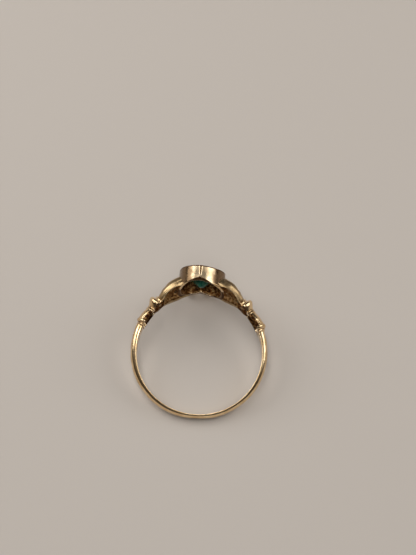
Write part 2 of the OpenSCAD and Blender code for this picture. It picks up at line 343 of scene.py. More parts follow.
def scratch_group():
    """Fine wear scratches in crossing directions and the soft waves of hand-finished metal, as a height."""
    group, ins, outs = new_group("Scratches", {"Fineness": 1.0}, ["Height", "Dullness"])
    place = add(group, "ShaderNodeTexCoord")
    heights = []
    for turn, stretch in SCRATCHES:
        lie = add(group, "ShaderNodeMapping", {"Rotation": turn, "Scale": stretch})
        lines = add(group, "ShaderNodeTexNoise", {"Detail": 3.0})
        link_up(group, (place.outputs["Object"], lie.inputs["Vector"]),
                (lie.outputs[0], lines.inputs["Vector"]), (ins.outputs["Fineness"], lines.inputs["Scale"]))
        heights.append(lines.outputs["Fac"])
    both = add(group, "ShaderNodeMath", operation="ADD")
    waves = add(group, "ShaderNodeTexNoise", {"Scale": WAVE_SCALE, "Detail": 2.0})
    mixed = add(group, "ShaderNodeMath", {1: WAVE_SHARE}, operation="MULTIPLY_ADD")
    ranged = add(group, "ShaderNodeMapRange", {"From Min": 0.3, "From Max": 0.7})
    link_up(group, (heights[0], both.inputs[0]), (heights[1], both.inputs[1]),
            (place.outputs["Object"], waves.inputs["Vector"]), (waves.outputs["Fac"], mixed.inputs[0]),
            (both.outputs[0], mixed.inputs[2]), (mixed.outputs[0], outs.inputs["Height"]),
            (waves.outputs["Fac"], ranged.inputs["Value"]), (ranged.outputs["Result"], outs.inputs["Dullness"]))
    return group


def painted_side_shade(tree, colour, tone, start, full):
    """Browner metal away from the heart's middle, from one distance to another: painted shade for the darker
    reflection on the bezel's sides.
    """
    place = add(tree, "ShaderNodeTexCoord")
    parts = add(tree, "ShaderNodeSeparateXYZ")
    away = add(tree, "ShaderNodeMath", operation="ABSOLUTE")
    cloud = add(tree, "ShaderNodeTexNoise", {"Scale": WAVE_SCALE, "Detail": 5.0})
    shifted = add(tree, "ShaderNodeMath", {1: SIDE_SHADE_GRAIN}, operation="MULTIPLY_ADD")
    ranged = add(tree, "ShaderNodeMapRange", {"From Min": start, "From Max": full},
                 interpolation_type="SMOOTHSTEP")
    side_shade = add(tree, "ShaderNodeMix", {"B": (*tone, 1)}, data_type="RGBA")
    link_up(tree, (place.outputs["Object"], parts.inputs[0]), (parts.outputs["X"], away.inputs[0]),
            (place.outputs["Object"], cloud.inputs["Vector"]), (cloud.outputs["Fac"], shifted.inputs[0]),
            (away.outputs[0], shifted.inputs[2]), (shifted.outputs[0], ranged.inputs["Value"]),
            (ranged.outputs["Result"], side_shade.inputs["Factor"]), (colour, side_shade.inputs["A"]))
    return side_shade.outputs["Result"]


def metal(name, groups, bright, dim, dirt_and_shade, roughness, rough_range, scratches, dirt_and_shade_start=0.32, dirt_and_shade_full=0.75,
          side_shade=None):
    """Gold that is bright where it is rubbed, dimmer where it isn't, and brown in its crevices: dirt and
    painted shade.
    """
    material, tree, shader = new_material(name, Metallic=1.0)
    crevices = add(tree, "ShaderNodeGroup", node_tree=groups["crevices"])
    crevices.inputs["Start"].default_value = dirt_and_shade_start
    crevices.inputs["Full"].default_value = dirt_and_shade_full
    scratch = add(tree, "ShaderNodeGroup", node_tree=groups["scratches"])
    tones = add(tree, "ShaderNodeMix", {"A": (*bright, 1), "B": (*dim, 1)}, data_type="RGBA")
    # Crevices take the dirt colour through the occlusion mask: dirt and painted shade
    dirtied_and_shaded = add(tree, "ShaderNodeMix", {"B": (*dirt_and_shade, 1)}, data_type="RGBA")
    dull = add(tree, "ShaderNodeMapRange", {"To Min": roughness, "To Max": roughness + rough_range})
    rough = add(tree, "ShaderNodeMix", {"B": DIRT_ROUGHNESS}, data_type="FLOAT")
    relief = add(tree, "ShaderNodeBump", {"Strength": scratches, "Distance": SCRATCH_DEPTH})
    colour = painted_side_shade(tree, tones.outputs["Result"], *side_shade) if side_shade else tones.outputs["Result"]
    link_up(tree, (scratch.outputs["Dullness"], tones.inputs["Factor"]), (colour, dirtied_and_shaded.inputs["A"]),
            (crevices.outputs["Mask"], dirtied_and_shaded.inputs["Factor"]),
            (dirtied_and_shaded.outputs["Result"], shader.inputs["Base Color"]),
            (scratch.outputs["Dullness"], dull.inputs["Value"]), (dull.outputs["Result"], rough.inputs["A"]),
            (crevices.outputs["Mask"], rough.inputs["Factor"]),
            (rough.outputs["Result"], shader.inputs["Roughness"]),
            (scratch.outputs["Height"], relief.inputs["Height"]),
            (relief.outputs["Normal"], shader.inputs["Normal"]))
    return material


def rough_cast(name, groups, pit, skin, crest, dirt_and_shade, glancing=(1, 1, 1)):
    """The rough, never polished skin of the casting inside its hollows, with dirt in its pits, and dirt and
    painted shade in its crevices.
    """
    material, tree, shader = new_material(name, Metallic=1.0, Specular_Tint=(*glancing, 1))
    place = add(tree, "ShaderNodeTexCoord")
    pits = add(tree, "ShaderNodeTexNoise", {"Scale": PIT_SCALE, "Detail": 6.0, "Roughness": 0.65})
    crevices = add(tree, "ShaderNodeGroup", node_tree=groups["crevices"])
    crevices.inputs["Reach"].default_value = HOLLOW_DIRT_AND_SHADE_REACH
    crevices.inputs["Start"].default_value = 0.3
    crevices.inputs["Full"].default_value = 0.9
    tones = colour_ramp(tree, [(0.38, pit), (0.5, skin), (0.64, crest)])
    # Crevices take the dirt colour through the occlusion mask: dirt and painted shade
    dirtied_and_shaded = add(tree, "ShaderNodeMix", {"B": (*dirt_and_shade, 1)}, data_type="RGBA")
    dull = add(tree, "ShaderNodeMapRange", {"To Min": DIRT_ROUGHNESS, "To Max": 0.32})
    relief = add(tree, "ShaderNodeBump", {"Strength": 0.9, "Distance": PIT_DEPTH})
    link_up(tree, (place.outputs["Object"], pits.inputs["Vector"]), (pits.outputs["Fac"], tones.inputs["Fac"]),
            (tones.outputs["Color"], dirtied_and_shaded.inputs["A"]), (crevices.outputs["Mask"], dirtied_and_shaded.inputs["Factor"]),
            (dirtied_and_shaded.outputs["Result"], shader.inputs["Base Color"]), (pits.outputs["Fac"], dull.inputs["Value"]),
            (dull.outputs["Result"], shader.inputs["Roughness"]),
            (pits.outputs["Fac"], relief.inputs["Height"]), (relief.outputs["Normal"], shader.inputs["Normal"]))
    return material


def green_glass():
    """Deep green cut stone with slightly rubbed facets."""
    material, tree, shader = new_material("Green stone", Metallic=0.0, Transmission_Weight=0.6, IOR=1.55,
                                          Specular_IOR_Level=0.2)
    place = add(tree, "ShaderNodeTexCoord")
    rubs = add(tree, "ShaderNodeTexNoise", {"Scale": RUB_SCALE, "Detail": 5.0})
    dull = add(tree, "ShaderNodeMapRange",
               {"From Min": 0.4, "From Max": 0.75, "To Min": 0.02, "To Max": 0.16})
    depth = colour_ramp(tree, [(0.3, (0.0, 0.12, 0.085)), (0.75, (0.002, 0.25, 0.165))])
    link_up(tree, (place.outputs["Object"], rubs.inputs["Vector"]), (rubs.outputs["Fac"], dull.inputs["Value"]),
            (dull.outputs["Result"], shader.inputs["Roughness"]), (rubs.outputs["Fac"], depth.inputs["Fac"]),
            (depth.outputs["Color"], shader.inputs["Base Color"]))
    return material


def make_materials():
    """All finishes by name."""
    groups = {"crevices": crevice_group(), "scratches": scratch_group()}
    return {
        "polished": metal("Worn gold", groups, (0.96, 0.75, 0.475), (0.70, 0.485, 0.25), (0.12, 0.052, 0.02),
                          0.11, 0.15, 0.35),
        # Hands: darker olive gold, olive patina and painted shade for the dark reflection on their sides, with
        # wider crevice darkening
        "hand": metal("Olive gold", groups, (0.56, 0.415, 0.23), (0.34, 0.23, 0.115), (0.10, 0.045, 0.018),
                      0.24, 0.16, 0.5, dirt_and_shade_start=0.2, dirt_and_shade_full=0.6),
        # Bezel: brighter gold, browned towards its sides as painted shade for their darker reflection
        "bezel": metal("Bezel gold", groups, (1.0, 0.83, 0.57), (0.80, 0.59, 0.35), (0.13, 0.06, 0.03),
                       0.19, 0.16, 0.5, side_shade=((0.24, 0.155, 0.085), 0.0016, 0.0024)),
        # Near-black gold: painted shade under the lip and in the seam's groove, tarnish and painted shade on
        # the bezel's foot
        "tarnish_and_shade": metal("Tarnished and shaded gold", groups, (0.14, 0.072, 0.03), (0.085, 0.041, 0.017),
                           (0.05, 0.025, 0.012), 0.4, 0.2, 0.5),
        "cast": rough_cast("Cast gold", groups, (0.09, 0.034, 0.011), (0.56, 0.31, 0.115), (0.98, 0.74, 0.40),
                           (0.40, 0.18, 0.06)),
        # Near-black rough cast with dimmed reflections: tarnish and painted shade in the sleeves' hollows,
        # along their lower edges and under the cuffs
        "tarnish_and_shade_cast": rough_cast("Tarnished and shaded cast gold", groups, (0.018, 0.007, 0.003),
                                     (0.075, 0.03, 0.011), (0.5, 0.3, 0.12), (0.04, 0.015, 0.006),
                                     glancing=(0.3, 0.16, 0.07)),
        # Darker copy of the cast finish for the inside of the bezel: painted shade
        "shaded_cast": rough_cast("Shaded cast gold", groups, (0.05, 0.017, 0.005), (0.28, 0.11, 0.03),
                                (0.85, 0.56, 0.25), (0.07, 0.026, 0.009)),
        "stone": green_glass(),
    }


# ---- Shank

def shank(gold):
    """The worn half-round band: a half circle closed by its inner face and swept round the finger."""
    bm = bmesh.new()
    bmesh.ops.create_circle(bm, segments=48, radius=SHANK_R)
    bmesh.ops.bisect_plane(bm, geom=bm.verts[:] + bm.edges[:], plane_co=(0, 0, 0), plane_no=(1, 0, 0),
                           clear_inner=True, dist=1e-5)
    feet = [v for v in bm.verts if abs(v.co.x) < 1e-4]
    bmesh.ops.contextual_create(bm, geom=feet)
    bmesh.ops.bevel(bm, geom=feet, offset=SHANK_CORNER, segments=4, profile=0.5, affect="VERTICES",
                     material=-1)
    inner = [e for e in bm.edges if all(abs(v.co.x) < 1e-4 for v in e.verts)]
    bmesh.ops.subdivide_edges(bm, edges=inner, cuts=6)
    bmesh.ops.rotate(bm, verts=bm.verts, cent=(0, 0, 0), matrix=Matrix.Rotation(math.pi / 2, 3, "X"))
    bmesh.ops.translate(bm, vec=(HOLE_R, 0, 0), verts=bm.verts)
    bmesh.ops.rotate(bm, verts=bm.verts, cent=(0, 0, 0),
                     matrix=Matrix.Rotation(math.radians(90 + SHANK_END), 3, "Z"))
    bmesh.ops.spin(bm, geom=bm.verts[:] + bm.edges[:], cent=(0, 0, 0), axis=(0, 0, 1),
                   angle=math.radians(360 - 2 * SHANK_END), steps=300)
    for v in bm.verts:
        wear_down(v)
    return finish_piece("shank", bm, "gold_ring", [gold])


def wear_down(v):
    """Thins the back of the band, flattens it there and leaves the two sizing joints."""
    r = v.co.xy.length
    turn = math.degrees(math.atan2(-v.co.x, v.co.y)) % 360
    a = math.radians(turn)
    low = -(SHANK_LEAN * math.sin(a) + SHANK_WEAR * math.cos(a))
    reach = math.acos(low / SHANK_R)
    phi = math.atan2(v.co.z, r - HOLE_R) * reach / (math.pi / 2)
    share = math.hypot(v.co.z, r - HOLE_R) / SHANK_R
    rise = share * (SHANK_R * math.cos(phi) - low)
    side = share * SHANK_R * math.sin(phi)
    joint = sum(bump(at, SIZING_TURN, turn) for at in SIZING_JOINTS)
    flat = FLAT_DEPTH * bump(180, FLAT_TURN, turn) * ease(0.2, 0.55, rise)
    ripple = RIPPLE * math.sin(a * 5 + 1) * math.sin(a * 3)
    push = SHANK_PUSH * bump(180, PUSH_TURN, turn)
    out = HOLE_R + rise - push - flat
    out = out - JOINT_DEPTH * joint * ease(0.0, 0.3, rise) + ripple * ease(0, 0.5, rise)
    spread = 1 - JOINT_NARROWING * joint
    lie = unit_turn(turn)[0]
    v.co = Vector((lie.x * out, lie.y * out, side * spread))


# ---- Shoulders: sleeve, collar, cuff and hand on each side

# Angles from the head at which a sleeve starts and ends, and at which the rim round the shank lies
SLEEVE_START = 50.6
SLEEVE_ENDS = {LEFT: 63.6, RIGHT: 66.2}
RIM_TURNS = {LEFT: 66.3, RIGHT: 69.0}
# Widths and heights of a sleeve at its start and at its end
SLEEVE_START_W, SLEEVE_START_H = 2.75, 1.12
SLEEVE_END_W = 3.0
SLEEVE_HEIGHTS = {LEFT: 1.22, RIGHT: 1.36}
SLEEVE_WALL, SLEEVE_BULGE, SLEEVE_CLOSING = 0.3, 0.07, 0.2
# The roll at a sleeve's end lies on the sleeve by so many degrees for each millimetre of its wire
ROLL_WIRES = {LEFT: 0.3, RIGHT: 0.38}
ROLL_W, ROLL_RISE, ROLL_BACK = 3.05, 0.07, 4
# The thin rim round the shank: width, height, wire radius. The core of the recess: width, depth, wire radius
RIM, CORE = (2.55, 0.98, 0.13), (2.3, 0.26, 0.24)
SLOTS = (-58.0, 0.0, 58.0)
SLOT_TURN, SLOT_DEPTH = 5.0, 0.07
# Share of a sleeve's side, from its lower edge, that takes the dark rough finish: tarnish and painted shade
# near the finger
TARNISH_AND_SHADE_SHARE = 0.2
EDGE_WEAR = 0.06


def sleeve(side, gold, tarnish_and_shade_cast):
    """Hollow sleeve that widens from its collar to its plump end, with a small engraved slot on each face."""
    end = SLEEVE_ENDS[side]
    a, r_a = section(SLEEVE_START, SLEEVE_START_W, SLEEVE_START_H)
    b, r_b = section(end, SLEEVE_END_W, SLEEVE_HEIGHTS[side])
    lie = (b - a).normalized()
    out = Vector((0, 0, 1)).cross(lie)
    out = -out if out.dot(unit_turn(57)[0]) < 0 else out
    bm = sheet(48, 96)
    # The lower edges, and through the wall the inside, take the dark rough finish: tarnish and painted shade
    low = [face for face in bm.faces if abs(face.calc_center_median().y) > 1 - TARNISH_AND_SHADE_SHARE]
    feet = {}
    for v in bm.verts:
        u, w = v.co.x, v.co.y
        radius = r_a + (r_b - r_a) * u
        radius = radius + SLEEVE_BULGE * math.sin(math.pi * u) - SLEEVE_CLOSING * ease(0.86, 1.0, u)
        middle = a + (b - a) * u
        key = round(u, 5)
        if key not in feet:
            feet[key] = foot_angle(middle, out, radius)
        fan = w * feet[key]
        slot = max(bump(at, SLOT_TURN, fan) for at in SLOTS) * ease(0.48, 0.58, u) * ease(0.86, 0.76, u)
        radius -= SLOT_DEPTH * slot
        f = math.radians(fan)
        v.co = middle + out * (radius * math.cos(f)) + Vector((0, 0, radius * math.sin(f)))
    for face in low:
        face.material_index = 1
    piece = finish_piece(f"{SIDE_NAMES[side]}_sleeve", bm, "gold_ring", [gold, tarnish_and_shade_cast], side)
    cast_wall(piece, SLEEVE_WALL)
    worn_edges(piece, EDGE_WEAR)
    return piece


def sleeve_end(side, gold):
    """Rolled end of the sleeve, the recess behind it and the thin rim where the shank goes in."""
    bm = bmesh.new()
    end, rim, height, wire = SLEEVE_ENDS[side], RIM_TURNS[side], SLEEVE_HEIGHTS[side], ROLL_WIRES[side]
    hoop(bm, end - ROLL_BACK * wire, ROLL_W, height + ROLL_RISE, wire)
    hoop(bm, rim - 0.5, *RIM)
    hoop(bm, (end + rim) / 2, CORE[0], height - CORE[1], CORE[2])
    return finish_piece(f"{SIDE_NAMES[side]}_sleeve_end", bm, "gold_ring", [gold], side)


# Table of a collar's hoops: turn, width, height, wire radius
COLLAR = [(50.7, 2.78, 1.2, 0.13), (48.6, 2.7, 1.2, 0.13), (49.6, 2.2, 1.0, 0.3)]


def collar(side, gold):
    """Two thin rings with a groove between them, and the core under them."""
    bm = bmesh.new()
    for turn, width, height, wire in COLLAR:
        hoop(bm, turn, width, height, wire)
    return finish_piece(f"{SIDE_NAMES[side]}_collar", bm, "gold_ring", [gold], side)


# Table of the cuff: share along its profile, turn, width, height
CUFF = [(0.0, 48.6, 2.3, 1.02), (0.08, 47.7, 2.55, 1.2), (0.18, 46.5, 2.85, 1.4), (0.28, 45.2, 3.16, 1.61),
        (0.38, 43.9, 3.38, 1.77), (0.48, 42.7, 3.46, 1.83), (0.56, 41.7, 3.4, 1.79), (0.63, 40.9, 3.18, 1.64),
        (0.68, 40.4, 2.94, 1.47), (0.73, 39.9, 2.82, 1.38), (0.79, 39.3, 2.86, 1.42), (0.85, 38.6, 2.9, 1.46),
        (0.91, 37.9, 2.76, 1.4), (0.96, 37.3, 2.45, 1.26), (1.0, 36.9, 2.1, 1.1)]
CUFF_GATHERS, CUFF_GATHER_DEPTH = 14, 0.022
# Depth and angle over which a cuff's side is tucked in towards the finger
CUFF_TUCK, CUFF_TUCK_TURN = 0.2, 12
FRILL_LEAN = 0.12


def cuff(side, gold):
    """Plump rolled cuff with shallow gathers, a groove and a smaller ring towards the hand."""
    bm = sheet(60, 84)
    feet = {}
    for v in bm.verts:
        u, w = v.co.x, v.co.y
        turn, width, height = blend_table(CUFF, u)
        key = round(u, 5)
        if key not in feet:
            out, forward = unit_turn(turn)
            middle, radius = section(turn, width, height)
            feet[key] = foot_angle(middle, out, radius), out, forward, middle, radius
        foot, out, forward, middle, radius = feet[key]
        fan = w * foot
        f = math.radians(fan)
        gathers = CUFF_GATHER_DEPTH * bump(0.42, 0.16, u) * math.cos(CUFF_GATHERS * f)
        tuck = CUFF_TUCK * max(0.0, 1 - (foot - abs(fan)) / CUFF_TUCK_TURN) ** 2
        radius += gathers - tuck
        lean = ease(0.05, 0.4, u) * (0.05 * math.cos(3 * f) + FRILL_LEAN * ease(60, 105, abs(fan)))
        v.co = middle + out * (radius * math.cos(f)) + Vector((0, 0, radius * math.sin(f))) + forward * lean
    return finish_piece(f"{SIDE_NAMES[side]}_cuff", bm, "gold_ring", [gold], side)


# Table of the sole: share along it, half its width
SOLE = [(0.0, 1.0), (0.12, 1.34), (0.24, 1.34), (0.38, 1.58), (0.5, 1.6), (0.62, 1.48), (0.75, 1.22),
        (1.0, 1.18)]
SOLE_START, SOLE_TURN = 36.8, 14.2
SOLE_H, SOLE_LIFT, SOLE_TAPER = 0.7, 0.01, 0.25


def sole(side, tarnish_and_shade_cast):
    """Solid metal under the cuff and the collar, with the face that lies on the finger, all in the dark brown
    rough finish: tarnish and painted shade under the cuff.
    """
    bm = sheet(30, 18)
    lower = bm.faces[:]
    for g in bmesh.ops.extrude_face_region(bm, geom=lower)["geom"]:
        if isinstance(g, bmesh.types.BMVert):
            g.co.z = SOLE_H
    for v in bm.verts:
        u, w, rise = v.co
        half = blend_table(SOLE, u)[0] * (1 - SOLE_TAPER * rise)
        out = unit_turn(SOLE_START + SOLE_TURN * u)[0]
        v.co = out * (HOLE_R + SOLE_LIFT + rise) + Vector((0, 0, w * half))
    return finish_piece(f"{SIDE_NAMES[side]}_sole", bm, "gold_ring", [tarnish_and_shade_cast], side)


# Table of a hand: share of its length from the wrist, share of its growth in radius
HAND = [(0.0, 0.0), (0.12, 0.3), (0.27, 0.64), (0.53, 0.93), (0.76, 1.02), (1.0, 1.0)]
WRIST, WRIST_R = section(38.5, 2.2, 1.28)
PALM, PALM_R = section(12.5, 4.4, 2.6)
HAND_WALL = 0.4
# How far the near edge lies above the finger, and how far both edges are tucked in, over an angle
HAND_SCOOP, HAND_TUCK, HAND_TUCK_TURN = 0.42, 0.16, 11
# Fine lines along the near side and round the wrist: depth, and lines in a turn
SIDE_LINES, WRIST_LINES = (0.05, 17), (0.01, 30)
# How far a hand reaches back into its cuff and at most forward, as shares of its length, and into the bezel
HAND_BACK, HAND_FORWARD, HAND_INSET = 0.2, 1.06, 0.14
# Angle that the fingers cover on each side of the crest, angle of one finger, and height of the fingers
FINGERS_TURN, FINGER_TURN, FINGER_H = 76, 38, 0.16
# Knuckles and middle joints: place along the hand, height as a share of a finger's, length
KNUCKLE, MIDDLE_JOINT = (0.5, 0.16, 0.07), (0.74, 0.1, 0.05)
# The two lines on a joint: places, length and depth
JOINT_LINES, JOINT_LINE_W, JOINT_LINE_DEPTH = (0.74, 0.765), 0.012, 0.02


def hand_radius(u):
    """Radius of the hand at a share of its length."""
    return WRIST_R + (PALM_R - WRIST_R) * blend_table(HAND, u)[0]


def in_heart(x, z, inset):
    """Whether a point lies inside the heart's outline, moved inwards by an inset."""
    x, v = abs(x), -z - LOBE_V
    if v < 0:
        return math.hypot(x - SIDE_X, v) < SIDE_R - inset
    return math.hypot(x - LOBE_X, v) < LOBE_R - inset or (x < LOBE_X and v < LOBE_R / 2)


def fingers(fan, u):
    """Height of the four fingers on the hand, side by side, with knuckles and joints."""
    if abs(fan) > FINGERS_TURN:
        return 0.0
    ridge = abs(math.cos(math.pi * (fan - FINGER_TURN / 2) / FINGER_TURN)) ** 0.75
    late = 0.035 * (fan / 57) ** 2
    ridge *= 1 - 0.75 * ease(36, 60, fan)
    swellings = [share * bump(at + late, length, u) for at, share, length in (KNUCKLE, MIDDLE_JOINT)]
    swell = 1 + sum(swellings) * ease(45, 15, fan)
    crease = sum(bump(at + late, JOINT_LINE_W, u) for at in JOINT_LINES)
    height = FINGER_H * ridge * swell - JOINT_LINE_DEPTH * crease
    return height * ease(0.22, 0.66, u - late) * ease(FINGERS_TURN, 62, abs(fan))


def hand(side, gold, cast):
    """Hollow hand: fine lines on its side and wrist, knuckles, and four fingers against the bezel."""
    lie = (PALM - WRIST).normalized()
    out = Vector((-lie.y, lie.x, 0))
    out = -out if out.dot(unit_turn(25)[0]) < 0 else out
    feet, ends = {}, {}

    def place(u, w):
        """Point of the hand at a share of its length and a share of the way from its crest to its foot."""
        middle = WRIST + (PALM - WRIST) * u
        radius = hand_radius(max(u, 0))
        near = w > 0
        key = round(u, 4), near
        if key not in feet:
            scoop = HAND_SCOOP * math.sin(math.pi * min(max(u, 0.0), 1.0)) if near else 0.0
            feet[key] = foot_angle(middle, out, radius, 1 if near else -1, scoop)
        fan = w * feet[key]
        f = math.radians(fan)
        lines = (SIDE_LINES[0] * math.cos(SIDE_LINES[1] * f) * ease(25, 45, fan)
                 + WRIST_LINES[0] * math.cos(WRIST_LINES[1] * f) * ease(0.5, 0.1, u))
        tuck = HAND_TUCK * max(0.0, 1 - (feet[key] - abs(fan)) / HAND_TUCK_TURN) * ease(0.0, 0.25, u)
        radius += fingers(fan, u) + lines - tuck
        return middle + out * (radius * math.cos(f)) + Vector((0, 0, radius * math.sin(f)))

    bm = sheet(84, 140)
    for v in bm.verts:
        u, w = v.co.x, v.co.y
        key = round(w, 4)
        if key not in ends:
            far = HAND_FORWARD
            while far > 0.6 and in_heart(place(far, w).x, place(far, w).z, HAND_INSET):
                far -= 0.01
            ends[key] = far
        v.co = place(-HAND_BACK + (ends[key] + HAND_BACK) * u, w)
    piece = finish_piece(f"{SIDE_NAMES[side]}_hand", bm, "gold_ring", [gold, cast], side, sharp=50)
    cast_wall(piece, HAND_WALL)
    worn_edges(piece, EDGE_WEAR)
    return piece


# Table of a thumb from its root to its tip: x, y, z, radius
THUMB = [(-5.3, 7.95, -1.35, 0.1), (-5.0, 8.25, -1.55, 0.27), (-4.4, 8.88, -1.98, 0.42),
         (-3.7, 9.3, -2.0, 0.5), (-3.1, 9.65, -2.05, 0.44), (-2.6, 9.85, -2.0, 0.43),
         (-2.3, 9.9, -1.9, 0.34), (-2.2, 9.92, -1.85, 0.15)]


def thumb(side, gold):
    """Thumb that reaches round from the side of the hand to the lobe beside the crown."""
    bm = bmesh.new()
    limb(bm, THUMB)
    piece = finish_piece(f"{SIDE_NAMES[side]}_thumb", bm, "gold_ring", [gold], side)
    soften(piece, 2)
    return piece


# ---- Heart bezel

CLEFT_FILLET = 0.04
LOBE_STEPS, SIDE_STEPS, CLEFT_STEPS, JOINT_STEPS = 28, 48, 6, 6
# The bezel's lower edge rises to a notch under the heart's point, over half this width
NOTCH_H, NOTCH_HALF = 0.45, 1.85


def at_height(bm, y):
    """Points of a shape that lie at a height."""
    return [v for v in bm.verts if abs(v.co.y - y) < 1e-4]


def heart_edge(bm, inset, y):
    """Closed outline of the heart at a height, moved inwards by an inset: arcs round cleft, lobe and side."""
    grown = LOBE_R + CLEFT_FILLET
    cleft_turn = math.acos(-LOBE_X / grown)
    cleft = Vector((0, y, -(LOBE_V + grown * math.sin(cleft_turn))))
    lobe, flank = Vector((LOBE_X, y, -LOBE_V)), Vector((SIDE_X, y, -LOBE_V))
    last = bmesh.ops.create_vert(bm, co=cleft + Vector((0, 0, CLEFT_FILLET + inset)))["vert"]
    round_lobe = math.degrees(cleft_turn)
    round_flank = math.degrees(math.acos((JOINT_W / 2 - SIDE_X) / SIDE_R))
    for middle, angle, steps in ((cleft, round_lobe - 90, CLEFT_STEPS), (lobe, -round_lobe, LOBE_STEPS),
                                 (flank, -round_flank, SIDE_STEPS)):
        last = bmesh.ops.spin(bm, geom=last, cent=middle, axis=(0, 1, 0), angle=math.radians(angle),
                              steps=steps)["geom_last"]
    tip = bmesh.ops.extrude_vert_indiv(bm, verts=last)
    bmesh.ops.translate(bm, vec=(-tip["verts"][0].co.x, 0, 0), verts=tip["verts"])
    bmesh.ops.subdivide_edges(bm, edges=tip["edges"], cuts=JOINT_STEPS - 1)
    half = at_height(bm, y)
    edges = list({e for v in half for e in v.link_edges})
    bmesh.ops.mirror(bm, geom=half + edges, matrix=Matrix.Identity(4), merge_dist=1e-5, axis="X")
    bmesh.ops.remove_doubles(bm, verts=at_height(bm, y), dist=1e-5)
    return list({e for v in at_height(bm, y) for e in v.link_edges})


# Table of the bezel's levels: inset, height, whether the height is measured up from the underside's arch, and
# the finish of the face up to the next level: outside, cast darkened with painted shade, or tarnish and painted
# shade
BEZEL = [(0.0, 0.0, True, 0), (0.0, 0.14, True, 0), (0.0, 0.6, True, 0), (0.0, LIP_Y - 0.6, False, 0),
         (0.0, LIP_Y - 0.3, False, 0), (0.0, LIP_Y - 0.19, False, 2), (0.01, LIP_Y - 0.12, False, 2),
         (0.05, LIP_Y - 0.04, False, 2), (0.13, LIP_Y - 0.01, False, 0), (0.24, LIP_Y, False, 0),
         (0.34, LIP_Y - 0.015, False, 0), (0.42, LIP_Y - 0.05, False, 0), (0.48, LIP_Y - 0.16, False, 0),
         (0.48, LIP_Y - 0.36, False, 1), (WALL, LIP_Y - 0.42, False, 1), (WALL, LIP_Y - 0.95, False, 1),
         (0.6, LIP_Y - 1.05, False, 1), (0.6, LIP_Y - 1.25, False, 1), (0.5, 0.5, True, 1),
         (0.43, 0.1, True, 0), (0.38, 0.02, True, 0), (0.28, 0.01, True, 2)]
# Levels of the table that the seam cuts, from the foot
SEAM_LEVELS = 8
# The seam: reach to each side, height of its edges, depth, and half the width of the painted shade in its
# groove
SEAM_REACH, SEAM_EDGE, SEAM_DEPTH, SEAM_HALF = 0.7, 0.05, 0.08, 0.05


def skew(z):
    """How far the heart's point leans to the left at a distance along the heart."""
    return -POINT_SKEW * ease(0.4, 3.4, z)


def notch(x):
    """How much the bezel's lower edge rises at a distance from its middle."""
    return NOTCH_H * max(0.0, 1 - abs(x) / NOTCH_HALF)


def seam_width(y):
    """Share by which the seam at the heart's point widens upwards."""
    return 0.6 + 1.0 * ease(LIP_Y - 1.7, LIP_Y - 0.1, y)


def open_seam(v):
    """Groove down the heart's point, where the two ends of the strip meet, with raised edges."""
    across, at_point = abs(v.co.x), ease(2.8, 3.2, v.co.z)
    half, wide, end = JOINT_W / 2, seam_width(v.co.y), SEAM_REACH
    pushed = across * wide
    if across >= half:
        pushed = half * wide + (across - half) * (end - half * wide) / (end - half)
    if across < end:
        v.co.x = math.copysign(across + (pushed - across) * at_point, v.co.x)
    v.co.z += (SEAM_EDGE * bump(0.115, 0.035, across) - SEAM_DEPTH * ease(0.075, 0.04, across)) * at_point


# Solder at the foot: its steps along X, its radius at both ends, and how deep it lies in the wall
FILLET_STEPS, FILLET_START, FILLET_STEP = 9, 3.0, 0.22
FILLET_R, FILLET_END_R, FILLET_SINK = 0.25, 0.03, 0.1


def foot_fillet(side, gold):
    """Solder that carries the near rim of the hand on along the bezel's lower edge."""
    bm = bmesh.new()
    path = []
    for step in range(FILLET_STEPS):
        x = FILLET_START - FILLET_STEP * step
        z = -LOBE_V + math.sqrt((SIDE_R - FILLET_SINK) ** 2 - (x - SIDE_X) ** 2)
        size = FILLET_R * (1 - step / FILLET_STEPS) + FILLET_END_R
        lean = side * math.radians(HEAD_LEAN) * x * (0.5 + step / 16)
        path.append((-x + skew(z) * side, underside(x, z) + lean + size * 0.6 + notch(x), z, size))
    limb(bm, path)
    piece = finish_piece(f"{SIDE_NAMES[side]}_foot_fillet", bm, "gold_ring", [gold], side)
    soften(piece, 1)
    return piece


def bezel(gold, cast, tarnish_and_shade):
    """Heart-shaped setting: outer wall, burnished lip over the stone, ledge under it and open underside."""
    bm = bmesh.new()
    loops = []
    for number, (inset, height, from_arch, _) in enumerate(BEZEL):
        edges = heart_edge(bm, inset, 100 + number)
        verts = list({v for e in edges for v in e.verts})
        for v in verts:
            v.co.y = height
            if number < SEAM_LEVELS:
                open_seam(v)
            if from_arch:
                rise = notch(v.co.x) * ease(1.5, 3.0, v.co.z) if inset == 0 else 0.0
                v.co.y = underside(v.co.x, v.co.z) + rise * (1 - ease(0.14, 0.9, height)) + height
            v.co.x += skew(v.co.z)
        loops.append(edges)
    for level, (lower, upper) in enumerate(zip(loops, loops[1:] + loops[:1])):
        for face in bmesh.ops.bridge_loops(bm, edges=lower + upper)["faces"]:
            middle = face.calc_center_median()
            off_seam = abs(middle.x - skew(middle.z))
            in_seam = level < SEAM_LEVELS and middle.z > 3 and off_seam < SEAM_HALF * seam_width(middle.y)
            # The seam's groove takes the near-black finish as painted shade, like the band under the lip from
            # the table
            face.material_index = 2 if in_seam else BEZEL[level][3]
    lean = Matrix.Rotation(math.radians(-HEAD_LEAN), 3, "Z")
    bmesh.ops.rotate(bm, verts=bm.verts, cent=(0, HEAD_MID_Y, 0), matrix=lean)
    piece = finish_piece("heart_bezel", bm, "gold_ring", [gold, cast, tarnish_and_shade], sharp=40)
    worn_edges(piece, EDGE_WEAR, angle=50)
    return piece


# ---- Crown

# The crown is a plate bent over the finger: radius of the bend, thickness, and height above the finger hole
CROWN_BEND, CROWN_T, CROWN_H = 18.0, 0.8, 1.4
CROWN_Y = HOLE_R + CROWN_H - CROWN_BEND
